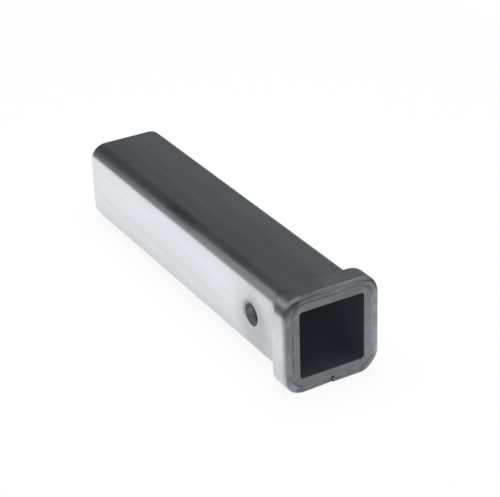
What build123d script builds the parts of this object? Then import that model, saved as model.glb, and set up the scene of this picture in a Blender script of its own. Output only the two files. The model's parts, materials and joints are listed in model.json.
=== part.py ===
from build123d import *
import math
import os

# A weld-on receiver tube: a length of square steel tube with a hitch pin hole
# through both side walls, and a reinforcing collar round its mouth. The collar
# is a flat bar bent round the tube, with its ends meeting under it, and it is
# held by a fillet weld behind each of its four sides.
#
# Millimetres. The tube runs along Y, its mouth faces -Y and +Z is up. The
# origin is where the axis of the pin hole crosses the axis of the tube.

# Square tube
TUBE_WIDTH = 63.5
TUBE_WALL = 6.35
TUBE_LENGTH = 304.8
TUBE_CORNER_RADIUS = 12.5
SOCKET_CORNER_RADIUS = 2.5
SAWN_EDGE_BREAK = 0.3

# Hitch pin hole
PIN_DIAMETER = 15.875
PIN_CLEARANCE = 0.8
PIN_SETBACK = 53.975

# Shallow dish that the punch leaves round each hole
DISH_WIDTH = 7.5
DISH_DEPTH = 0.45
HOLE_EDGE_RADIUS = 0.3

# Flat bar of the collar
BAR_THICKNESS = 5.2
BAR_WIDTH = 18.0
BAR_OUTER_EDGE_RADIUS = 2.0
BAR_INNER_EDGE_BREAK = 0.4
BAR_BEND_RADIUS = 11.0
COLLAR_CORNER_RADIUS = 14.5
COLLAR_FIT_GAP = 0.1
COLLAR_SEAM_GAP = 2.8

# Fillet welds behind the collar
WELD_LEG = 2.8
WELD_CROWN = 0.45
WELD_END_SETBACK = 1.5
WELD_END_RADIUS = 1.4

# How far a cutting tool runs past the face that it cuts
CUT_OVERRUN = 1.0

# Sizes that follow from the ones above
tube_half = TUBE_WIDTH / 2
socket_width = TUBE_WIDTH - 2 * TUBE_WALL
flat_half = tube_half - TUBE_CORNER_RADIUS
mouth_y = -PIN_SETBACK
pin_hole_radius = (PIN_DIAMETER + PIN_CLEARANCE) / 2
collar_inside_width = TUBE_WIDTH + 2 * COLLAR_FIT_GAP
collar_outside_width = collar_inside_width + 2 * BAR_THICKNESS
collar_rear_y = mouth_y + BAR_WIDTH

# Seen from in front of the mouth, with X to the right and Z up
mouth_plane = Plane(origin=(0, mouth_y, 0), x_dir=(1, 0, 0), z_dir=(0, -1, 0))


def make_punch():
    """Tool that cuts one pin hole with its dished and rounded rim, along +X from the tube's axis."""
    rim_radius = pin_hole_radius + DISH_WIDTH
    wall_face = tube_half
    dish_floor = wall_face - DISH_DEPTH
    punch_tip = wall_face - TUBE_WALL - CUT_OVERRUN
    # The dish steepens towards the hole, so its profile bows below the straight line.
    dish_middle = (pin_hole_radius + DISH_WIDTH / 2, wall_face - DISH_DEPTH / 4)
    with BuildSketch(Plane.XY) as profile:
        with BuildLine():
            Polyline(
                (pin_hole_radius, dish_floor),
                (pin_hole_radius, punch_tip),
                (0, punch_tip),
                (0, wall_face + CUT_OVERRUN),
                (rim_radius, wall_face + CUT_OVERRUN),
                (rim_radius, wall_face),
            )
            ThreePointArc((rim_radius, wall_face), dish_middle, (pin_hole_radius, dish_floor))
        make_face()
        hole_corner = profile.vertices().sort_by_distance((pin_hole_radius, dish_floor, 0))[0]
        fillet(hole_corner, HOLE_EDGE_RADIUS)
    punch = revolve(profile.sketch, axis=Axis.Y)
    return Rotation(0, 0, -90) * punch


def make_tube():
    """Square tube with rounded corners, deburred ends and a pin hole in each side wall."""
    outline = RectangleRounded(TUBE_WIDTH, TUBE_WIDTH, TUBE_CORNER_RADIUS)
    socket = RectangleRounded(socket_width, socket_width, SOCKET_CORNER_RADIUS)
    tube = extrude(mouth_plane * (outline - socket), amount=-TUBE_LENGTH)
    end_faces = tube.faces().filter_by(Axis.Y)
    tube = chamfer(end_faces.edges(), SAWN_EDGE_BREAK)
    punch = make_punch()
    return tube - punch - punch.rotate(Axis.Z, 180)


def make_collar():
    """Flat bar bent round the mouth, with a gap under the tube between its sheared ends.

    It was bent hot, so it is a little thicker in the corners than along the sides."""
    outside = RectangleRounded(collar_outside_width, collar_outside_width, COLLAR_CORNER_RADIUS)
    inside = RectangleRounded(collar_inside_width, collar_inside_width, BAR_BEND_RADIUS)
    ring = extrude(mouth_plane * (outside - inside), amount=-BAR_WIDTH)
    rims = ring.faces().filter_by(Axis.Y)
    outer_edges = ShapeList(edge for rim in rims for edge in rim.outer_wire().edges())
    ring = fillet(outer_edges, BAR_OUTER_EDGE_RADIUS)
    rims = ring.faces().filter_by(Axis.Y)
    inner_edges = ShapeList(edge for rim in rims for wire in rim.inner_wires() for edge in wire.edges())
    ring = chamfer(inner_edges, BAR_INNER_EDGE_BREAK)
    seam_middle = Pos(0, mouth_y + BAR_WIDTH / 2, -(collar_inside_width + BAR_THICKNESS) / 2)
    seam = seam_middle * Box(COLLAR_SEAM_GAP, BAR_WIDTH + CUT_OVERRUN, BAR_THICKNESS + CUT_OVERRUN)
    return ring - seam


def make_weld(turn):
    """Convex fillet weld along the flat of one side, behind the collar."""
    length = 2 * (flat_half - WELD_END_SETBACK)
    crown_offset = WELD_LEG / 2 + WELD_CROWN / math.sqrt(2)
    section_plane = Plane(origin=(-length / 2, collar_rear_y, tube_half), x_dir=(0, 1, 0), z_dir=(1, 0, 0))
    with BuildSketch(section_plane) as section:
        with BuildLine():
            Line((0, 0), (WELD_LEG, 0))
            ThreePointArc((WELD_LEG, 0), (crown_offset, crown_offset), (0, WELD_LEG))
            Line((0, WELD_LEG), (0, 0))
        make_face()
    bead = extrude(section.sketch, amount=length)
    end_arcs = bead.edges().filter_by(GeomType.CIRCLE)
    bead = fillet(end_arcs, WELD_END_RADIUS)
    return bead.rotate(Axis.Y, turn)


parts = {
    "receiver_tube": make_tube(),
    "collar": make_collar(),
    "weld_top": make_weld(0),
    "weld_right": make_weld(90),
    "weld_bottom": make_weld(180),
    "weld_left": make_weld(270),
}

os.makedirs("parts", exist_ok=True)
for name, solid in parts.items():
    export_step(solid, "parts/" + name + ".step")
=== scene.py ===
import json
import math

import bpy
import numpy as np
from bpy.props import FloatProperty, FloatVectorProperty, PointerProperty
from bpy.types import Operator, Panel, PropertyGroup
from mathutils import Matrix, Vector


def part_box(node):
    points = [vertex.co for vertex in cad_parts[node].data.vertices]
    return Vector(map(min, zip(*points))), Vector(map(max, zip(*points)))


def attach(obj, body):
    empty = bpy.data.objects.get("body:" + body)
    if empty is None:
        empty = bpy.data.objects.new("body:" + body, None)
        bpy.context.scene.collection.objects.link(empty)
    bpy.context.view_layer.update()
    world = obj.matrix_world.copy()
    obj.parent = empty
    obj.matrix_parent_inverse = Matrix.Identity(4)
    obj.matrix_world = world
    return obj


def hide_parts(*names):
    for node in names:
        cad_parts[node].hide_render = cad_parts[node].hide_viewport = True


# A weld-on receiver tube: drawn square tube with a hitch pin hole, a flat bar bent round its
# mouth as a collar, and a fillet weld behind each side of the collar. Metres, with the mouth
# towards -Y and +Z up. The origin is where the pin hole's axis crosses the tube's axis.
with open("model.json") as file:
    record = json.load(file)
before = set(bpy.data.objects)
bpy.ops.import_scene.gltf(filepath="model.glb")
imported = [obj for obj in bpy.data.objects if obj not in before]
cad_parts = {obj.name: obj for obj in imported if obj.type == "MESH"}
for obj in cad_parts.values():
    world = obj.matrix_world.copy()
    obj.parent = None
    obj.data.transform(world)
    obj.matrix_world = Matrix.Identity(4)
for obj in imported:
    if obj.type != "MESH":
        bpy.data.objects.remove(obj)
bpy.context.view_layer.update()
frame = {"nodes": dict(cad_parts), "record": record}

bl_info = {
    "name": "Receiver tube",
    "version": (1, 0, 0),
    "blender": (4, 5, 0),
    "location": "3D View > Sidebar > Receiver tube",
    "description": "Finishes a weld-on receiver tube: drawn steel, bent collar, welds and a plain stage",
    "category": "Object",
}

MM = 0.001
BODY = "root"

# Sizes and places that the frame gives
tube_low, tube_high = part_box("receiver_tube")
_, collar_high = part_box("collar")
weld_low, weld_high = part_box("weld_top")
mounts = {mount["name"]: mount for mount in frame["record"]["mounts"]}
TUBE_HALF = tube_high.x
MOUTH_Y = tube_low.y
REAR_Y = tube_high.y
COLLAR_HALF = collar_high.x
COLLAR_REAR_Y = collar_high.y
COLLAR_WIDTH = COLLAR_REAR_Y - MOUTH_Y
PIN_RADIUS = mounts["hitch_pin_hole"]["dims"]["r_mm"] * MM
WELD_LENGTH = weld_high.x - weld_low.x
WELD_LEG = weld_high.z - TUBE_HALF

# Sizes of the tube's solid that its box doesn't show
SOCKET_HALF = 25.4 * MM
TUBE_CORNER_RADIUS = 12.5 * MM

SHARP_ANGLE = math.radians(50)
FIRST_WELD_SEED = 11
PLAIN_WHITE = (1.0, 1.0, 1.0)


class SteelSettings(PropertyGroup):
    """Colours and textures of the bare steel."""

    side_colour: FloatVectorProperty(
        name="Drawn face", description="Colour of the tube's drawn faces", subtype="COLOR",
        default=(0.745, 0.765, 0.80), min=0.0, max=1.0)
    bar_colour: FloatVectorProperty(
        name="Rolled bar", description="Colour of the collar's rolled faces", subtype="COLOR",
        default=(0.695, 0.71, 0.735), min=0.0, max=1.0)
    cut_colour: FloatVectorProperty(
        name="Cut face", description="Colour of sawn and sheared faces", subtype="COLOR",
        default=(0.20, 0.212, 0.225), min=0.0, max=1.0)
    punched_colour: FloatVectorProperty(
        name="Punched wall", description="Colour of the dull wall of the pin hole", subtype="COLOR",
        default=(0.09, 0.09, 0.095), min=0.0, max=1.0)
    punched_light: FloatVectorProperty(
        name="Light in the hole", description="Faint glow that stands for the stray light in the pin hole",
        subtype="COLOR", default=(0.064, 0.065, 0.072), min=0.0, max=1.0)
    scale_colour: FloatVectorProperty(
        name="Mill scale", description="Colour of the dull black scale inside the tube", subtype="COLOR",
        default=(0.03, 0.032, 0.038), min=0.0, max=1.0)
    gap_light: FloatVectorProperty(
        name="Light in the gap",
        description="Faint glow that stands for the stray light between the collar and the tube",
        subtype="COLOR", default=(0.034, 0.036, 0.04), min=0.0, max=1.0)
    stray_light: FloatVectorProperty(
        name="Stray light", description="Faint glow that stands for the stray light in the opening",
        subtype="COLOR", default=(0.0095, 0.0108, 0.0145), min=0.0, max=1.0)
    face_roughness: FloatProperty(
        name="Face roughness", description="Roughness of the drawn faces of the tube",
        default=0.2, min=0.0, max=1.0, subtype="FACTOR")
    line_depth: FloatProperty(
        name="Drawn lines", description="Depth of the fine lines along the tube",
        default=0.0006 * MM, min=0.0, max=MM, unit="LENGTH", precision=7)


class CollarSettings(PropertyGroup):
    """Sizes of the flat bar that is bent round the mouth."""

    thickness: FloatProperty(
        name="Bar thickness", description="Thickness of the flat bar",
        default=5.2 * MM, min=MM, max=10 * MM, unit="LENGTH", precision=5)
    bend_radius: FloatProperty(
        name="Bend radius", description="Inside radius of the four bends",
        default=11.0 * MM, min=MM, max=20 * MM, unit="LENGTH", precision=5)
    corner_radius: FloatProperty(
        name="Corner radius",
        description="Outside radius of the bends, before two are made sharper and one blunter",
        default=14.5 * MM, min=MM, max=30 * MM, unit="LENGTH", precision=5)
    blunt_corner: FloatProperty(
        name="Blunt corner", description="How much rounder the lower right bend is at its middle",
        default=1.8 * MM, min=0.0, max=5 * MM, unit="LENGTH", precision=5)
    sharp_corner: FloatProperty(
        name="Sharp corner", description="How much sharper the upper right and lower left bends are",
        default=0.8 * MM, min=0.0, max=3 * MM, unit="LENGTH", precision=5)
    front_edge: FloatProperty(
        name="Front edge radius", description="Radius of the bar's outer front edge, under the tube",
        default=1.6 * MM, min=0.1 * MM, max=4 * MM, unit="LENGTH", precision=5)
    worn_edge: FloatProperty(
        name="Worn edge radius", description="Radius of the outer front edge on the upper left bend",
        default=3.35 * MM, min=0.1 * MM, max=4 * MM, unit="LENGTH", precision=5)
    rear_edge: FloatProperty(
        name="Rear edge radius", description="Radius of the bar's outer rear edge, below and on the left",
        default=1.9 * MM, min=0.1 * MM, max=4 * MM, unit="LENGTH", precision=5)
    worn_rear_edge: FloatProperty(
        name="Worn rear edge radius", description="Radius of the outer rear edge on the upper right bend",
        default=2.9 * MM, min=0.1 * MM, max=4 * MM, unit="LENGTH", precision=5)
    inner_edge: FloatProperty(
        name="Inner edge radius", description="Radius of the bar's two inner edges",
        default=0.55 * MM, min=0.1 * MM, max=2 * MM, unit="LENGTH", precision=5)
    seam_gap: FloatProperty(
        name="Seam gap", description="Gap between the bar's two ends at its front, under the tube",
        default=2.8 * MM, min=0.1 * MM, max=5 * MM, unit="LENGTH", precision=5)
    rear_seam_gap: FloatProperty(
        name="Rear seam gap", description="Gap between the bar's two ends further back",
        default=0.3 * MM, min=0.1 * MM, max=5 * MM, unit="LENGTH", precision=5)
    end_dressing: FloatProperty(
        name="End dressing", description="How much the left end of the bar is dressed down at the seam",
        default=0.7 * MM, min=0.0, max=2 * MM, unit="LENGTH", precision=5)


class WeldSettings(PropertyGroup):
    """Shape and colours of the rippled fillet welds."""

    crown: FloatProperty(
        name="Crown", description="How far the bead bulges past a straight fillet",
        default=0.45 * MM, min=0.0, max=2 * MM, unit="LENGTH", precision=5)
    ripple_pitch: FloatProperty(
        name="Ripple pitch", description="Distance from one ripple to the next",
        default=1.7 * MM, min=0.3 * MM, max=6 * MM, unit="LENGTH", precision=5)
    ripple_depth: FloatProperty(
        name="Ripple depth", description="Depth of the valleys between ripples",
        default=0.22 * MM, min=0.0, max=MM, unit="LENGTH", precision=5)
    colour: FloatVectorProperty(
        name="Weld metal", description="Colour of the weld metal", subtype="COLOR",
        default=(0.36, 0.36, 0.37), min=0.0, max=1.0)
    brown_tint: FloatVectorProperty(
        name="Brown tint", description="Colour of the brown heat tint", subtype="COLOR",
        default=(0.27, 0.22, 0.19), min=0.0, max=1.0)
    blue_tint: FloatVectorProperty(
        name="Blue tint", description="Colour of the blue heat tint", subtype="COLOR",
        default=(0.17, 0.19, 0.26), min=0.0, max=1.0)


class StageSettings(PropertyGroup):
    """The floor, the light and the camera."""

    floor_colour: FloatVectorProperty(
        name="Floor", description="Colour of the floor", subtype="COLOR",
        default=(0.9, 0.9, 0.9), min=0.0, max=1.0)
    floor_glow: FloatProperty(
        name="Floor glow", description="Share of the floor that the camera sees as plain white",
        default=0.9, min=0.0, max=1.0, subtype="FACTOR")
    mirrored_glow: FloatProperty(
        name="Mirrored glow", description="Share of the floor that shiny metal mirrors as plain white",
        default=0.6, min=0.0, max=1.0, subtype="FACTOR")
    unlit_glow: FloatProperty(
        name="Unlit glow", description="How bright the unlit floor still looks to shiny metal",
        default=0.15, min=0.0, max=1.0, subtype="FACTOR")
    floor_reach: FloatProperty(
        name="Floor reach",
        description="How far the floor goes in front, behind and to the left, and half as far to the right",
        default=1.0, min=0.2, max=6.0, unit="LENGTH")
    floor_lit: FloatProperty(
        name="Lit floor", description="How far to the right the floor looks lit to shiny metal",
        default=0.09, min=0.0, max=6.0, unit="LENGTH")
    studio_colour: FloatVectorProperty(
        name="Studio", description="Colour of the light from the studio's walls", subtype="COLOR",
        default=(0.91, 0.975, 1.0), min=0.0, max=1.0)
    studio_level: FloatProperty(
        name="Studio level", description="Brightness of the studio's walls",
        default=0.35, min=0.0, max=1.0, subtype="FACTOR")
    lamp_power: FloatProperty(
        name="Lamp power", description="Power of the soft lamp over the object",
        default=26.0, min=0.0, max=200.0, unit="POWER")
    lamp_size: FloatProperty(
        name="Lamp size", description="Side of the square lamp",
        default=1.4, min=0.1, max=5.0, unit="LENGTH")
    lamp_height: FloatProperty(
        name="Lamp height", description="Height of the lamp over the tube's axis",
        default=1.5, min=0.5, max=5.0, unit="LENGTH")
    azimuth: FloatProperty(
        name="Camera azimuth",
        description="Turn of the camera about the upright axis, from straight in front",
        default=math.radians(-29.22), unit="ROTATION")
    elevation: FloatProperty(
        name="Camera elevation", description="Angle of the camera above the horizon",
        default=math.radians(28.02), unit="ROTATION")
    roll: FloatProperty(
        name="Camera roll", description="Turn of the camera about its own line of sight",
        default=math.radians(-2.05), unit="ROTATION")
    distance: FloatProperty(
        name="Camera distance", description="Distance of the camera from the point that it turns about",
        default=1.2045, min=0.1, unit="LENGTH")
    lens: FloatProperty(
        name="Lens", description="Focal length of the camera in millimetres, on a sensor 36 mm wide",
        default=119.79, min=10.0, max=400.0)


# Shader nodes

class Field:
    """A number or vector that varies over a surface: a shader node's output, with arithmetic."""

    def __init__(self, tree, socket):
        self.tree = tree
        self.socket = socket

    def combined(self, operation, *others):
        node = self.tree.nodes.new("ShaderNodeMath")
        node.operation = operation
        for socket, value in zip(node.inputs, (self, *others)):
            feed(self.tree, socket, value)
        return Field(self.tree, node.outputs[0])

    def __add__(self, other):
        return self.combined("ADD", other)

    def __sub__(self, other):
        return self.combined("SUBTRACT", other)

    def __mul__(self, other):
        return self.combined("MULTIPLY", other)

    def __truediv__(self, other):
        return self.combined("DIVIDE", other)

    def __rsub__(self, other):
        return self * -1.0 + other

    def __neg__(self):
        return self.combined("MULTIPLY", -1.0)

    def __abs__(self):
        return self.combined("ABSOLUTE")

    def larger(self, other):
        return self.combined("MAXIMUM", other)

    def smaller(self, other):
        return self.combined("MINIMUM", other)

    def root_sum_square(self, other):
        """Distance from the origin of a plane with this field and the other as coordinates."""
        return (self * self + other * other).combined("SQRT")

    def ramp(self, low, high, start=0.0, end=1.0):
        """Goes smoothly from start, where this field is at low, to end, where it is at high."""
        node = self.tree.nodes.new("ShaderNodeMapRange")
        node.interpolation_type = "SMOOTHSTEP"
        for socket, value in zip(node.inputs, (self, low, high, start, end)):
            feed(self.tree, socket, value)
        return Field(self.tree, node.outputs[0])

    def fade(self, low, high, start=1.0):
        """Goes smoothly from start, where this field is at low, to 0, where it is at high."""
        return self.ramp(low, high, start, 0.0)

    def speckle(self, amount):
        """Turns cloudy noise into a factor that varies round 1 by the given amount."""
        return self.ramp(0.3, 0.7, 1.0 - amount, 1.0 + amount)

    def marked(self, *marks):
        """This field under some marks. A mark is a field, 1 at its middle and 0 outside it, with the
        share by which this field grows where the mark is 1, or shrinks if the share is negative."""
        result = self
        for mark, share in marks:
            result = result * (mark * share + 1.0)
        return result


def feed(tree, socket, value):
    """Links a field to a socket, or sets the socket to a plain value."""
    if isinstance(value, Field):
        tree.links.new(value.socket, socket)
    else:
        socket.default_value = value


def spot(across, up, inner, outer, start=1.0):
    """The start value within the inner radius of the place where both fields are 0, and 0 past the
    outer radius."""
    return across.root_sum_square(up).fade(inner, outer, start)


def coordinate(tree, name):
    """A texture coordinate as a vector field."""
    return Field(tree, tree.nodes.new("ShaderNodeTexCoord").outputs[name])


def ray(tree, kind):
    """1 for rays of that kind, and 0 for all others."""
    return Field(tree, tree.nodes.new("ShaderNodeLightPath").outputs[kind])


def split(vector):
    """The three parts of a vector field."""
    node = vector.tree.nodes.new("ShaderNodeSeparateXYZ")
    feed(vector.tree, node.inputs[0], vector)
    return [Field(vector.tree, output) for output in node.outputs]


def mixed_colour(share, first, second):
    """First colour where share is 0, second where it is 1."""
    node = share.tree.nodes.new("ShaderNodeMix")
    node.data_type = "RGBA"
    feed(share.tree, node.inputs[0], share)
    for socket, colour in ((node.inputs[6], first), (node.inputs[7], second)):
        feed(share.tree, socket, colour if isinstance(colour, Field) else (*colour, 1.0))
    return Field(share.tree, node.outputs[2])


def scaled_colour(colour, amount):
    """A plain colour made lighter or darker by a field."""
    node = amount.tree.nodes.new("ShaderNodeVectorMath")
    node.operation = "SCALE"
    feed(amount.tree, node.inputs[0], tuple(colour))
    feed(amount.tree, node.inputs["Scale"], amount)
    return Field(amount.tree, node.outputs[0])


class Surface:
    """A new metal material, with the place and the facing of each point of its surface as fields."""

    def __init__(self, name):
        self.material = bpy.data.materials.new(name)
        self.material.use_nodes = True
        self.tree = self.material.node_tree
        self.shader = self.tree.nodes["Principled BSDF"]
        self.place = coordinate(self.tree, "Object")
        self.x, self.y, self.z = split(self.place)
        self.facing_x, self.facing_y, self.facing_z = split(coordinate(self.tree, "Normal"))

    def noise(self, scale, detail=3.0, roughness=0.5):
        """Cloudy noise from 0 to 1. Scale gives the cells in a metre, for all axes or for each."""
        mapping = self.tree.nodes.new("ShaderNodeMapping")
        mapping.inputs["Scale"].default_value = scale if isinstance(scale, tuple) else (scale,) * 3
        feed(self.tree, mapping.inputs["Vector"], self.place)
        node = self.tree.nodes.new("ShaderNodeTexNoise")
        node.inputs["Scale"].default_value = 1.0
        node.inputs["Detail"].default_value = detail
        node.inputs["Roughness"].default_value = roughness
        self.tree.links.new(mapping.outputs[0], node.inputs["Vector"])
        return Field(self.tree, node.outputs["Fac"])

    def from_axis(self):
        """Distance from the tube's axis, measured squarely: the larger of those along X and Z."""
        return abs(self.x).larger(abs(self.z))

    def right_of_top(self):
        """Grows to 1 towards the right of the faces that look up."""
        return self.x.ramp(-TUBE_HALF, TUBE_HALF) * self.facing_z.ramp(0.5, 0.95)

    def glow(self, colour):
        """Lets the surface glow by itself in a dark colour."""
        feed(self.tree, self.shader.inputs["Emission Color"], colour)
        self.shader.inputs["Emission Strength"].default_value = 1.0

    def finish(self, colour, roughness, height, metallic=1.0):
        """Feeds the colour, the roughness, the height in metres and the metal share to the shader."""
        feed(self.tree, self.shader.inputs["Metallic"], metallic)
        feed(self.tree, self.shader.inputs["Base Color"], colour)
        feed(self.tree, self.shader.inputs["Roughness"], roughness)
        bump = self.tree.nodes.new("ShaderNodeBump")
        bump.inputs["Distance"].default_value = 1.0
        feed(self.tree, bump.inputs["Height"], height)
        self.tree.links.new(bump.outputs[0], self.shader.inputs["Normal"])
        return self.material


# The tube's steel

def saw_marks(surface, pitch, depth):
    """Height of the fine slanting lines that a saw leaves on a cut end, uneven from line to line."""
    slant = surface.x * 0.35 + surface.z
    waver = surface.noise(60) * (2.0 * pitch)
    lines = ((slant + waver) * (2 * math.pi / pitch)).combined("SINE")
    return lines * surface.noise(400) * depth


def drawn_shade(surface, from_pin, side):
    """How light the drawn faces are, apart from their clouds and lines: a little darker round the pin
    hole, with painted shade at its rim, near and just behind the collar, low down and in a band on the
    upper left bend, and painted light on the right of the top."""
    x, y, z = surface.x, surface.y, surface.z
    behind = y - MOUTH_Y
    upright = abs(surface.facing_x).ramp(0.7, 0.98)
    halo = from_pin.fade(PIN_RADIUS + MM, PIN_RADIUS + 22 * MM) * side
    # Painted shade on the upper rear of the pin hole's rim and above its front.
    rim = ((y * 0.75 + z * 0.66) / from_pin).ramp(-0.2, 0.8) * side
    rim = rim * from_pin.fade(PIN_RADIUS - 0.5 * MM, PIN_RADIUS + 5 * MM)
    before_pin = ((z - y) / from_pin).ramp(0.5, 1.3) * side
    before_pin = before_pin * from_pin.fade(PIN_RADIUS, PIN_RADIUS + 13 * MM)
    below_pin = spot(y + 4 * MM, z + 14 * MM, 8 * MM, 32 * MM) * side
    # Painted shade on the sides near the collar, high up just behind it, and low down.
    shade_near_collar = behind.fade(25 * MM, 75 * MM) * upright
    shade_behind_collar = behind.fade(20 * MM, 31 * MM) * z.ramp(4 * MM, 16 * MM) * side
    low_shade = z.fade(-22 * MM, 8 * MM) * y.ramp(0.0, 150 * MM, 1.0, 0.6) * upright
    # Painted shade lies in a thin band along the upper left bend, halfway down the tube.
    bend_shade = spot(surface.facing_z - 0.8, (y - 106 * MM) / (130 * MM), 0.05, 0.35)
    bend_shade = bend_shade * (-surface.facing_x).ramp(0.1, 0.3) * z.ramp(0.0, 20 * MM)
    # Painted light towards the right of the top.
    shade = surface.right_of_top() * 0.32 + 1.0
    return shade.marked(
        (halo, -0.17), (rim, -0.6), (before_pin, -0.22), (below_pin, -0.1),
        (shade_near_collar, -0.15), (shade_behind_collar, -0.14), (low_shade, -0.08), (bend_shade, -0.33))


def sawn_shade(surface, grit):
    """How light the sawn ends are: speckled and lighter on the right, with a rim by the collar that has
    painted shade on the left side and at the left of the top, and a little painted light elsewhere."""
    x, z = surface.x, surface.z
    blotches = surface.noise(150)
    rim = surface.from_axis().ramp(TUBE_HALF - 1.7 * MM, TUBE_HALF - 0.5 * MM)
    # The rim gets painted shade on the left side and at the left of the top, and painted light elsewhere.
    left_share = abs(z + 3 * MM).ramp(9 * MM, 24 * MM, -0.55, -0.05)
    other_share = z.ramp(0.0, 20 * MM) * x.fade(0.0, 10 * MM, -0.3) + 0.12
    rim_share = x.ramp(-30 * MM, -26 * MM, left_share, other_share)
    shade = grit.speckle(0.07) * blotches.speckle(0.08) * x.ramp(20 * MM, 30 * MM, 1.03, 1.26)
    return shade.marked((rim, rim_share))


def tube_glow(surface, steel, inside, hole_wall, dull):
    """Faint glow of the tube's dark places, for the stray light in the socket, in the pin hole and
    between the tube and the collar."""
    # Light that comes in through the left hole falls on the inside of the lower wall, behind the hole.
    lit_patch = spot(surface.x, surface.y - 46 * MM, 8 * MM, 26 * MM, 5.0) * surface.z.fade(-20 * MM, 0.0)
    glow = scaled_colour(steel.stray_light, inside * dull * (lit_patch + 1.0))
    glow = mixed_colour(hole_wall, glow, steel.punched_light)
    in_gap = surface.y.fade(COLLAR_REAR_Y - 2 * MM, COLLAR_REAR_Y - MM)
    in_gap = in_gap * abs(surface.facing_y).fade(0.1, 0.4) * (1.0 - inside)
    return mixed_colour(in_gap, glow, steel.gap_light)


def tube_steel(steel):
    """Drawn tube: satin faces with fine lengthwise lines, sawn ends, a dark punched hole and black
    scale inside."""
    surface = Surface("drawn_steel")
    from_pin = surface.y.root_sum_square(surface.z)
    side = abs(surface.x).ramp(SOCKET_HALF - 0.2 * MM, SOCKET_HALF + 0.3 * MM)
    inside = surface.from_axis().fade(SOCKET_HALF + 0.05 * MM, SOCKET_HALF + 0.5 * MM)
    hole_wall = from_pin.fade(PIN_RADIUS, PIN_RADIUS + 0.15 * MM) * side
    cut_end = abs(surface.facing_y).ramp(0.45, 0.85)
    dull = inside.larger(hole_wall) * (1.0 - cut_end)
    clouds = surface.noise((45, 14, 45), detail=5.0, roughness=0.6)
    lines = surface.noise((900, 7, 900), detail=4.0, roughness=0.7)
    broad_lines = surface.noise((160, 2.5, 160))
    grit = surface.noise(700, detail=5.0, roughness=0.7)
    shade = clouds.ramp(0.25, 0.75, 0.93, 1.03) * broad_lines.ramp(0.3, 0.7, 0.96, 1.03)
    colour = scaled_colour(steel.side_colour, shade * drawn_shade(surface, from_pin, side))
    colour = mixed_colour(hole_wall, colour, scaled_colour(steel.punched_colour, grit.speckle(0.15)))
    colour = mixed_colour(inside, colour, steel.scale_colour)
    colour = mixed_colour(cut_end, colour, scaled_colour(steel.cut_colour, sawn_shade(surface, grit)))
    rough_places = hole_wall.larger(inside).larger(cut_end)
    roughness = clouds.ramp(0.2, 0.8, steel.face_roughness - 0.03, steel.face_roughness + 0.06)
    height = lines * steel.line_depth + broad_lines * (0.02 * MM) + grit * rough_places * (0.02 * MM)
    height = height + saw_marks(surface, 0.7 * MM, 0.012 * MM) * cut_end
    surface.glow(tube_glow(surface, steel, inside, hole_wall, dull))
    return surface.finish(colour, roughness + rough_places * 0.24, height, 1.0 - dull)


# The collar's steel

def collar_left_tone(surface, behind):
    """How light the collar's left side is. A dark band lies along the upper left bend, with a fainter end
    and edge beside a band of painted light, and the front of the left side is darker."""
    z = surface.z
    below_top = COLLAR_HALF - z
    facing_left = -surface.facing_x
    dark_band = abs(below_top - 10.3 * MM).fade(0.8 * MM, 5 * MM)
    dark_band = dark_band * behind.fade(12 * MM, 15 * MM) * behind.ramp(0.0, 5 * MM, 0.45, 1.0)
    dark_band_end = abs(below_top - 7.6 * MM).fade(0.6 * MM, 2.6 * MM) * behind.ramp(14.5 * MM, 17 * MM)
    dark_band_edge = z.ramp(8 * MM, 22 * MM) * behind.ramp(12 * MM, 17 * MM, 1.0, 0.2)
    dark_band_edge = dark_band_edge * facing_left.ramp(0.8, 0.95)
    edge_share = behind.ramp(0.0, 8 * MM, -0.27, -0.13)
    # Painted light in a band along the upper left bend, where it faces halfway up.
    bend_light = abs(surface.facing_z - 0.66).fade(0.0, 0.2)
    left_front = behind.fade(-0.5 * MM, 5.5 * MM) * facing_left.ramp(0.2, 0.7)
    left_front = left_front * z.ramp(-27 * MM, -12 * MM, 0.55, 0.95)
    left_tone = (dark_band * -0.7 + 1.0).marked(
        (dark_band_end, -0.36), (dark_band_edge, edge_share), (bend_light, 0.3), (left_front, -0.6))
    return surface.x.ramp(-20 * MM, -10 * MM, left_tone, 1.0)


def collar_groove(surface):
    """Painted light and shade in the groove round the tube: a little painted light, but not on the right,
    and painted shade at the bends, where the groove is wider, least at the upper left one."""
    x, z = surface.x, surface.z
    groove = surface.from_axis().fade(TUBE_HALF + 0.5 * MM, TUBE_HALF + 1.5 * MM)
    groove = groove * x.ramp(-30 * MM, -24 * MM, 0.05, 0.1) * x.fade(24 * MM, 30 * MM)
    bend_centre = TUBE_HALF - TUBE_CORNER_RADIUS
    from_bend = (abs(x) - bend_centre).root_sum_square(abs(z) - bend_centre)
    wide_groove = from_bend.fade(TUBE_CORNER_RADIUS + 1.1 * MM, TUBE_CORNER_RADIUS + 2.5 * MM, 0.5)
    corner = abs(x).smaller(abs(z)).ramp(22 * MM, 28 * MM) * (z - x).ramp(40 * MM, 50 * MM, 1.0, 0.2)
    return groove - wide_groove * corner


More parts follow.
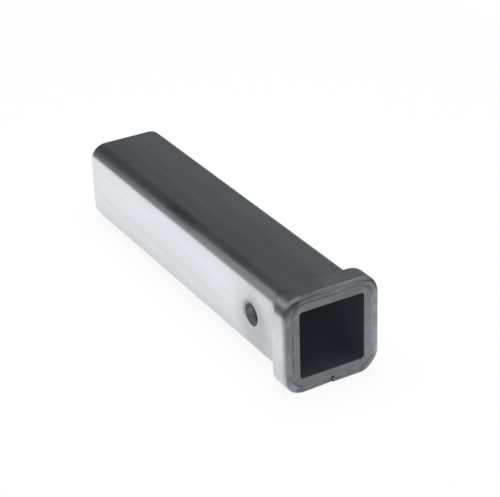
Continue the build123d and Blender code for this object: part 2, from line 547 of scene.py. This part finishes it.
def edge_shade(surface, grit):
    """How light the bar's front edge and sheared ends are: blotched, darker along the top, with painted
    light towards the right, painted light and shade in the groove by the tube, small marks on the upper
    left and lower left bends, and painted shade in and beside the seam."""
    x, z = surface.x, surface.z
    blotches = surface.noise(180)
    low = z.fade(-20 * MM, 0.0)
    shade = grit.speckle(0.05) * blotches.speckle(0.14) * (collar_groove(surface) + 1.0)
    shade = shade * z.ramp(TUBE_HALF, TUBE_HALF + 1.5 * MM, 1.0, 0.86)
    # Painted light towards the right leg of the bar.
    shade = shade * x.ramp(TUBE_HALF - 6 * MM, TUBE_HALF, 1.0, 1.36)
    shade = shade * x.ramp(TUBE_HALF, TUBE_HALF + 4 * MM, 1.0, 1.36)
    shade = shade * x.ramp(-TUBE_HALF - MM, -TUBE_HALF + 6 * MM, 1.12, 1.0)
    upper_patch = spot(x + 29.5 * MM, z - 32.5 * MM, 2 * MM, 6 * MM)
    side_patch = spot(x + 34.5 * MM, z - 26 * MM, MM, 6 * MM)
    lighter_corner = spot(x + 31.5 * MM, z + 31.5 * MM, 2 * MM, 5 * MM)
    # Painted shade in the seam and beside it, on its left.
    in_seam = abs(x).fade(1.25 * MM, 1.45 * MM) * low
    near_seam = abs(x + 1.2 * MM).fade(MM, 3 * MM) * low
    return shade.marked((upper_patch, -0.5), (side_patch, -0.3), (lighter_corner, 0.35),
                        (in_seam, -0.75), (near_seam, -0.2))


def collar_steel(steel):
    """Rolled flat bar: satin on its outer faces, darker and duller on the edge that faces forward and
    on the sheared ends, with rough streaks on the top of that edge, dark marks and painted light on the
    left, painted light on the top face, most on the right, and a painted highlight along the top edge. Its
    inner face glows faintly, for the stray light between the collar and the tube."""
    surface = Surface("rolled_bar_steel")
    x, z = surface.x, surface.z
    behind = surface.y - MOUTH_Y
    clouds = surface.noise(70, detail=5.0, roughness=0.6)
    grit = surface.noise(600, detail=5.0, roughness=0.7)
    streaks = surface.noise((70, 500, 500), detail=4.0, roughness=0.6)
    upper = z.ramp(TUBE_HALF + MM, TUBE_HALF + 3 * MM)
    sheared_end = abs(x).fade(MM, 1.6 * MM) * abs(surface.facing_x).ramp(0.4, 0.8)
    edge_face = abs(surface.facing_y).ramp(upper * 0.33 + 0.5, upper * 0.06 + 0.93).larger(sheared_end)
    top = z.ramp(COLLAR_HALF - 9 * MM, COLLAR_HALF - 3 * MM)
    # Painted light on the top face of the bar.
    top_light = surface.facing_z.ramp(0.8, 0.9) * behind.fade(15 * MM, COLLAR_WIDTH)
    front_streaks = (streaks - 0.5) * top * behind.fade(2 * MM, 5 * MM)
    dark_edge = abs(x + 18 * MM).fade(2 * MM, 10 * MM) * behind.fade(2 * MM, 4 * MM) * top
    # Painted highlight in a line along the top of the front edge.
    edge_highlight = abs(z - COLLAR_HALF + 2.4 * MM).fade(0.3 * MM, 1.5 * MM)
    edge_highlight = edge_highlight * x.ramp(-12 * MM, -6 * MM) * behind.fade(MM, 3 * MM)
    shade = clouds.ramp(0.25, 0.75, 0.83, 1.1) * collar_left_tone(surface, behind)
    # Painted light towards the right of the top.
    shade = shade * (surface.right_of_top() * 0.34 + 0.96)
    shade = shade.marked((top_light, 0.15), (front_streaks, 1.3), (dark_edge, -0.3), (edge_highlight, 0.4))
    cut_shade = edge_shade(surface, grit)
    # The sheared ends get painted shade, for the dark notch of the seam.
    cut_shade = cut_shade.marked((front_streaks, 1.6), (edge_highlight, 0.4), (sheared_end, -0.3))
    colour = mixed_colour(edge_face, scaled_colour(steel.bar_colour, shade),
                          scaled_colour(steel.cut_colour, cut_shade))
    inward = (x * surface.facing_x + z * surface.facing_z).fade(-20 * MM, -10 * MM)
    surface.glow(scaled_colour(steel.gap_light, inward))
    roughness = clouds.ramp(0.2, 0.8, 0.24, 0.32) + edge_face * 0.18
    height = clouds * (0.05 * MM) + grit * (0.006 * MM) + front_streaks * (0.2 * MM)
    return surface.finish(colour, roughness, height)


def weld_steel(weld):
    """Bare weld metal, dull, with brown and blue heat tints in clouds."""
    surface = Surface("weld_metal")
    clouds = surface.noise(300, detail=4.0)
    grit = surface.noise(1500, detail=4.0, roughness=0.7)
    tint = mixed_colour(clouds.ramp(0.4, 0.65), weld.colour, weld.brown_tint)
    tint = mixed_colour(clouds.ramp(0.62, 0.8), tint, weld.blue_tint)
    return surface.finish(tint, grit.ramp(0.3, 0.7, 0.32, 0.5), grit * (0.02 * MM))


# Meshes

def closed_rows(rows, row_size):
    """Quads between neighbouring rows of points, each row a closed loop, and a flat cap at each end."""
    index = np.arange(rows * row_size).reshape(rows, row_size)
    following = np.roll(index, -1, axis=1)
    quads = np.stack([index[:-1], following[:-1], following[1:], index[1:]], axis=-1).reshape(-1, 4)
    return quads.tolist() + [index[0][::-1].tolist(), index[-1].tolist()]


def add_piece(name, points, material, nodes):
    """Puts rows of closed loops into the scene as a piece that stands for CAD nodes."""
    mesh = bpy.data.meshes.new(name)
    mesh.from_pydata(points.reshape(-1, 3), [], closed_rows(*points.shape[:2]))
    mesh.shade_smooth()
    mesh.set_sharp_from_angle(angle=SHARP_ANGLE)
    mesh.materials.append(material)
    piece = bpy.data.objects.new(name, mesh)
    bpy.context.scene.collection.objects.link(piece)
    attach(piece, BODY)
    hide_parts(*nodes)


def along_spans(keys, steps):
    """Values of the key columns at even steps within each span between neighbouring keys."""
    spans = [np.linspace(k, k + 1, count, endpoint=False) for k, count in enumerate(steps)]
    place = np.append(np.concatenate(spans), len(keys) - 1)
    return [np.interp(place, np.arange(len(keys)), column) for column in np.array(keys, float).T]


def bar_path(seam_share, straight_steps, bend_steps):
    """Way of the bar round the tube, from the seam's right side to its left.

    Each step has the bend's centre along X and Z, as a share of its distance from the tube's axis, and
    the outward direction. On a straight run the centre moves, and on a bend the direction turns."""
    keys = [(seam_share, -1, -90), (1, -1, -90), (1, -1, 0), (1, 1, 0), (1, 1, 90),
            (-1, 1, 90), (-1, 1, 180), (-1, -1, 180), (-1, -1, 270), (-seam_share, -1, 270)]
    steps = [straight_steps, bend_steps] * 4 + [straight_steps]
    share_x, share_z, direction = along_spans(keys, steps)
    return share_x[:, None], share_z[:, None], np.radians(direction)[:, None]


def bar_loop(width, thickness, front_edge, rear_edge, inner_edge, flat_steps, edge_steps):
    """Loop round the bar's section: a rectangle whose corners are quarter circles. The first value is
    the distance behind the mouth, the second the height above the inner face."""
    f, r, i = front_edge, rear_edge, inner_edge
    keys = [(width - i, i, i, -90), (width - i, i, i, 0), (width - r, thickness - r, r, 0),
            (width - r, thickness - r, r, 90), (f, thickness - f, f, 90), (f, thickness - f, f, 180),
            (i, i, i, 180), (i, i, i, 270), (width - i, i, i, 270)]
    centre_y, centre_h, radius, angle = along_spans(keys, [edge_steps, flat_steps] * 4)
    angle = np.radians(angle)
    return np.array([centre_y + radius * np.cos(angle), centre_h + radius * np.sin(angle)])[:, None, :-1]


def towards(direction, way):
    """Cosine of the angle between the direction and a way in degrees, and 0 past a quarter turn."""
    return np.clip(np.cos(direction - math.radians(way)), 0, 1)


def at_bend(direction, way):
    """1 at the middle of the bend that lies a way in degrees round the tube, and 0 from its ends on."""
    angle = direction - math.radians(way)
    return np.clip(np.cos(2 * angle), 0, 1) * (np.cos(angle) > 0)


def bent_bar(collar):
    """Flat bar bent round the mouth of the tube, as rows of closed loops.

    A point of the bar's section with the height h above the inner face lies at the bend's centre plus
    the radius times the outward direction. The radius grows evenly with h, from the bend radius to the
    corner radius, and the centre lies so far from the axis that the straight runs stay h above the
    inner face. The section is the plain one, plus a share of the way to each of two worn ones. Near
    the seam the left end is dressed down and both ends lean towards each other."""
    half = COLLAR_HALF - collar.thickness
    flat_half = half - collar.bend_radius
    share_x, share_z, direction = bar_path(
        collar.seam_gap / 2 / flat_half, straight_steps=40, bend_steps=28)
    plain, worn_front, worn_rear = [
        bar_loop(COLLAR_WIDTH, collar.thickness, front, rear, collar.inner_edge,
                 flat_steps=10, edge_steps=10)
        for front, rear in ((collar.front_edge, collar.rear_edge),
                            (collar.worn_edge, collar.rear_edge),
                            (collar.front_edge, collar.worn_rear_edge))]
    upper_right, lower_left, lower_right = [at_bend(direction, way) for way in (45, 225, 315)]
    # The outer front edge is roundest on the upper left bend, less so on the upper right bend and the
    # right side, and plain under the tube. The rear edge is roundest on the upper right bend.
    front_wear = towards(direction, 135) + towards(direction, 0) * 0.17 + upper_right * 0.45
    rear_wear = towards(direction, 45)
    behind, height = plain + (worn_front - plain) * front_wear + (worn_rear - plain) * rear_wear
    # The bar's left end is dressed down towards the seam, on its outer face only.
    to_seam = np.where(direction > math.radians(269.9), 1 + share_x, 0.0)
    height = height * (1 - collar.end_dressing * to_seam ** 1.5 / collar.thickness)
    # Both ends lean towards each other, so that the gap is narrower behind the front.
    lean_length = 4 * MM
    from_end = np.abs(share_x) * flat_half - collar.seam_gap / 2
    at_seam = np.clip(1 - from_end / lean_length, 0, 1) * (share_z < 0)
    lean = (collar.seam_gap - collar.rear_seam_gap) / 2 * (1 - np.exp(-behind / MM))
    corner_radius = (collar.corner_radius + collar.blunt_corner * lower_right
                     - collar.sharp_corner * (upper_right + lower_left))
    growth = (corner_radius - collar.bend_radius) / collar.thickness
    radius = collar.bend_radius + growth * height
    centre = half + height - radius
    return np.stack([
        share_x * centre + radius * np.cos(direction) - np.sign(share_x) * at_seam * lean,
        MOUTH_Y + behind,
        share_z * centre + radius * np.sin(direction),
    ], axis=-1)


def weld_bead(length, leg, weld, turn, seed):
    """Rippled fillet bead along one side of the tube, behind the collar, as rows of closed loops.

    Seen along the bead, a point lies at an angle t from the tube's face, from 0 to 90 degrees, at the
    distance leg / (cos t + sin t) from the root, plus the crown times the square of sin 2t, plus the
    ripples. A ripple is the absolute value of a sine along the bead, bowed into a crescent across it.
    The ends shrink as a quarter ellipse, and turn gives the side of the tube."""
    rows, columns = 280, 19
    sink = 0.12 * MM
    end_length = 2.2 * MM
    waver_length = 3.1 * MM
    waver_width = 0.35 * MM
    waver_share = 0.05
    bow_depth = 1.1 * MM
    s = np.linspace(-length / 2, length / 2, rows)[:, None]
    t = np.linspace(0, math.pi / 2, columns)[None, :]
    waves = np.random.default_rng(seed)
    phases = waves.uniform(0, 2 * math.pi, 4)
    waver = sum(np.sin(s / (k * waver_length) + phases[k - 1]) for k in range(1, 5)) / 4
    bow = bow_depth * np.cos(2 * t - math.pi / 2)
    ripples = np.abs(np.sin(math.pi * (s + bow + waver_width * waver) / weld.ripple_pitch))
    across = np.sin(2 * t)
    reach = leg * (1 + waver_share * waver) / (np.cos(t) + np.sin(t)) + weld.crown * across ** 2
    reach = reach - weld.ripple_depth * (1 - ripples) * across ** 0.5
    end = np.clip((length / 2 - np.abs(s)) / end_length, 0, 1)
    reach = reach * np.sqrt(1 - (1 - end) ** 2)
    behind = np.concatenate([reach * np.cos(t), np.zeros((rows, 1))], axis=1) - sink
    above = np.concatenate([reach * np.sin(t), np.zeros((rows, 1))], axis=1) - sink
    along = np.broadcast_to(s, behind.shape)
    points = np.stack([along, COLLAR_REAR_Y + behind, TUBE_HALF + above], axis=-1)
    return points @ np.array(Matrix.Rotation(turn, 3, "Y")).T


class RECEIVER_OT_tube(Operator):
    """Gives the square tube its drawn, sawn, punched and scaled surfaces"""

    bl_idname = "receiver.tube"
    bl_label = "Finish the tube"

    def execute(self, context):
        frame["nodes"]["receiver_tube"].material_slots[0].material = tube_steel(context.scene.receiver_steel)
        return {"FINISHED"}


class RECEIVER_OT_collar(Operator):
    """Bends the flat bar round the mouth of the tube"""

    bl_idname = "receiver.collar"
    bl_label = "Make the collar"

    def execute(self, context):
        points = bent_bar(context.scene.receiver_collar)
        material = collar_steel(context.scene.receiver_steel)
        add_piece("collar_bar", points, material, ["collar"])
        return {"FINISHED"}


class RECEIVER_OT_welds(Operator):
    """Lays a rippled fillet weld behind each side of the collar"""

    bl_idname = "receiver.welds"
    bl_label = "Lay the welds"

    def execute(self, context):
        weld = context.scene.receiver_weld
        material = weld_steel(weld)
        for number, side in enumerate(("top", "right", "bottom", "left")):
            turn = number * math.pi / 2
            points = weld_bead(WELD_LENGTH, WELD_LEG, weld, turn, seed=FIRST_WELD_SEED + number)
            add_piece("bead_" + side, points, material, ["weld_" + side])
        return {"FINISHED"}


# The stage

def floor_paint(stage):
    """Dull pale paint that the camera sees nearly white. Shiny metal sees it bright near the object,
    unlit on the right, so that the right-hand edges look dark, and dimmer far to the left."""
    material = bpy.data.materials.new("pale_floor")
    material.use_nodes = True
    tree = material.node_tree
    paint = tree.nodes["Principled BSDF"]
    paint.inputs["Base Color"].default_value = (*stage.floor_colour, 1.0)
    paint.inputs["Roughness"].default_value = 1.0
    paint.inputs["Specular IOR Level"].default_value = 0.0
    x, y, _ = split(coordinate(tree, "Object"))
    # The unlit part comes 60 mm nearer behind the pin hole, and its border is 80 mm wide.
    nearer = y.ramp(-20 * MM, 60 * MM) * (60 * MM)
    unlit_right = (x + nearer).ramp(stage.floor_lit, stage.floor_lit + 80 * MM)
    dim_left = (x + y * 0.2).fade(-345 * MM, -85 * MM, 0.75)
    unlit = unlit_right.larger(dim_left)
    seen = ray(tree, "Is Camera Ray")
    mirrored = ray(tree, "Is Glossy Ray")
    glow = tree.nodes.new("ShaderNodeEmission")
    feed(tree, glow.inputs["Strength"], mirrored * unlit * (stage.unlit_glow - 1.0) + 1.0)
    mix = tree.nodes.new("ShaderNodeMixShader")
    glow_share = unlit * (1.0 - stage.mirrored_glow) + stage.mirrored_glow
    feed(tree, mix.inputs[0], seen * stage.floor_glow + mirrored * glow_share)
    tree.links.new(paint.outputs[0], mix.inputs[1])
    tree.links.new(glow.outputs[0], mix.inputs[2])
    tree.links.new(mix.outputs[0], tree.nodes["Material Output"].inputs["Surface"])
    return material


def stage_floor(stage):
    """Flat floor, tilted so that it touches the collar's lower rear edge and the tube's."""
    front = Vector((0, COLLAR_REAR_Y, -COLLAR_HALF))
    rear = Vector((0, REAR_Y, -TUBE_HALF))
    slope = (rear.z - front.z) / (rear.y - front.y)
    reach = stage.floor_reach
    far_y = REAR_Y + reach
    corners = np.array([(-reach, -reach), (reach / 2, -reach), (reach / 2, far_y), (-reach, far_y)])
    points = np.column_stack([corners, front.z + (corners[:, 1] - front.y) * slope])
    mesh = bpy.data.meshes.new("floor")
    mesh.from_pydata(points, [], [[0, 1, 2, 3]])
    mesh.materials.append(floor_paint(stage))
    floor = bpy.data.objects.new("floor", mesh)
    bpy.context.scene.collection.objects.link(floor)


def studio_world(stage):
    """Dim studio with a dark backdrop behind the object. The camera sees it white.

    The walls have the studio's level. The backdrop is 0.25 to 0.28 darker, most at its left end, and its
    left, right and upper ends are placed by the slope of the direction against the way to the rear. The
    upper right, the upper front and the right wall are dimmer than the other walls."""
    world = bpy.data.worlds.new("studio")
    world.use_nodes = True
    bpy.context.scene.world = world
    tree = world.node_tree
    rightward, rearward, upward = split(coordinate(tree, "Generated"))
    reach = rearward.larger(0.05)
    slope = rightward / reach
    rise = upward / reach
    backdrop = (slope - rise * 0.12).ramp(-0.74, -0.62) * slope.fade(0.7, 2.2)
    backdrop = backdrop * rise.fade(1.0, 1.9) * rearward.ramp(0.05, 0.35)
    backdrop = backdrop * slope.ramp(0.0, 0.45, 0.28, 0.25)
    upper_right = upward.ramp(0.55, 0.85) * rightward.ramp(0.1, 0.4)
    upper_front = (-rearward).ramp(0.0, 0.3) * upward.ramp(0.1, 0.45)
    right_wall = rightward.ramp(0.6, 0.85) * upward.ramp(-0.05, 0.08)
    wall_share = rearward.ramp(0.1, 0.7, -0.6, -0.35)
    level = (stage.studio_level - backdrop).marked(
        (upper_right, -0.35), (upper_front, -0.25), (right_wall, wall_share))
    walls = scaled_colour(stage.studio_colour, level)
    colour = mixed_colour(ray(tree, "Is Camera Ray"), walls, PLAIN_WHITE)
    feed(tree, tree.nodes["Background"].inputs["Color"], colour)


def soft_lamp(stage):
    """Square lamp high over the object. It lights dull surfaces, and shiny ones don't mirror it."""
    light = bpy.data.lights.new("overhead_lamp", "AREA")
    light.shape = "SQUARE"
    light.size = stage.lamp_size
    light.energy = stage.lamp_power
    lamp = bpy.data.objects.new("overhead_lamp", light)
    middle_of_tube = 100 * MM
    lamp.location = (0.0, middle_of_tube, stage.lamp_height)
    lamp.visible_glossy = False
    bpy.context.scene.collection.objects.link(lamp)


def photo_camera(stage):
    """Camera on a sphere round a point in the tube, rolled and moved a little across its own view."""
    turned_about = Vector((0.0, 66.025 * MM, 0.0))
    moved_right = 5.15 * MM
    moved_up = 11.31 * MM
    back = Vector((
        math.sin(stage.azimuth) * math.cos(stage.elevation),
        -math.cos(stage.azimuth) * math.cos(stage.elevation),
        math.sin(stage.elevation)))
    level_right = (-back).cross(Vector((0, 0, 1))).normalized()
    level_up = level_right.cross(-back)
    right = level_right * math.cos(stage.roll) + level_up * math.sin(stage.roll)
    up = level_up * math.cos(stage.roll) - level_right * math.sin(stage.roll)
    lens = bpy.data.cameras.new("camera")
    lens.sensor_width = 36.0
    lens.lens = stage.lens
    camera = bpy.data.objects.new("camera", lens)
    camera.matrix_world = Matrix((right, up, back)).transposed().to_4x4()
    camera.location = turned_about + back * stage.distance + right * moved_right + up * moved_up
    bpy.context.scene.collection.objects.link(camera)
    bpy.context.scene.camera = camera


class RECEIVER_OT_stage(Operator):
    """Sets up the pale floor, the soft light and the camera"""

    bl_idname = "receiver.stage"
    bl_label = "Set the stage"

    def execute(self, context):
        stage = context.scene.receiver_stage
        for step in (stage_floor, studio_world, soft_lamp, photo_camera):
            step(stage)
        context.scene.view_settings.view_transform = "Standard"
        return {"FINISHED"}


SETTINGS = {
    "receiver_steel": SteelSettings,
    "receiver_collar": CollarSettings,
    "receiver_weld": WeldSettings,
    "receiver_stage": StageSettings,
}
OPERATORS = (RECEIVER_OT_tube, RECEIVER_OT_collar, RECEIVER_OT_welds, RECEIVER_OT_stage)


class RECEIVER_PT_panel(Panel):
    """Lists the settings and the steps of the receiver tube"""

    bl_idname = "RECEIVER_PT_panel"
    bl_label = "Receiver tube"
    bl_space_type = "VIEW_3D"
    bl_region_type = "UI"
    bl_category = "Receiver tube"

    def draw(self, context):
        for (group_name, group), operator in zip(SETTINGS.items(), OPERATORS):
            box = self.layout.box()
            for setting in group.__annotations__:
                box.prop(getattr(context.scene, group_name), setting)
            box.operator(operator.bl_idname)


CLASSES = (*SETTINGS.values(), *OPERATORS, RECEIVER_PT_panel)


def register():
    for cls in CLASSES:
        bpy.utils.register_class(cls)
    for name, group in SETTINGS.items():
        setattr(bpy.types.Scene, name, PointerProperty(type=group))


def unregister():
    for name in SETTINGS:
        delattr(bpy.types.Scene, name)
    for cls in reversed(CLASSES):
        bpy.utils.unregister_class(cls)


def main():
    register()
    bpy.ops.receiver.tube()
    bpy.ops.receiver.collar()
    bpy.ops.receiver.welds()
    bpy.ops.receiver.stage()


if __name__ == "__main__":
    main()
